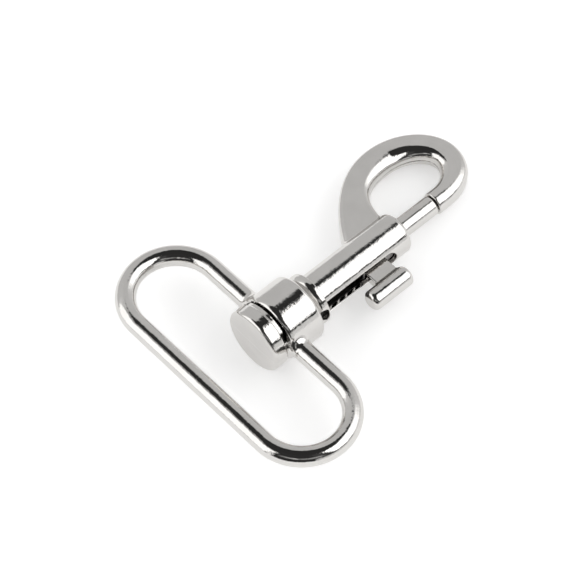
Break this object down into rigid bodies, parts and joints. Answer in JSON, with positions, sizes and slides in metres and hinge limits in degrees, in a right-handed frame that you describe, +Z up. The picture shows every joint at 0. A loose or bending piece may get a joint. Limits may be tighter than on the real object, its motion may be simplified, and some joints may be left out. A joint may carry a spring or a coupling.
{
  "type": "swivel snap hook",
  "caption": "Plated snap hook with a flat curved bow, a spring-loaded sliding bolt with a thumb tab, and a swivelling wire loop for flat webbing.",
  "frame": {"origin": "middle of the straight bar that the webbing passes round, on the swivel axis", "axes": "+X along the swivel axis from the webbing bar to the hook, +Y towards the outside of the bow, +Z up out of the flat side of the hook"},
  "size_m": [0.0596, 0.0466, 0.0112],
  "materials": {
    "plated_loop": "polished nickel plate",
    "plated_stem": "polished nickel plate",
    "plated_hook": "polished nickel plate",
    "plated_bolt": "polished nickel plate",
    "spring_steel": "drawn spring wire"
  },
  "bodies": {
    "hook": {"hook_body": "plated_hook", "swivel_stem": "plated_stem", "bolt_spring": "spring_steel"},
    "loop": {"webbing_loop": "plated_loop"},
    "bolt": {"bolt": "plated_bolt"}
  },
  "joints": [
    {"name": "hook_swivel", "type": "hinge", "parent": "hook", "child": "loop", "pos_m": [0.0152, 0, 0], "axis": [1, 0, 0], "continuous": true},
    {"name": "bolt_slide", "type": "slide", "parent": "hook", "child": "bolt", "axis": [-1, 0, 0], "range_m": [0, 0.0071], "stiffness_N_per_m": 300, "springref_m": -0.006, "deforming": ["bolt_spring"]}
  ]
}
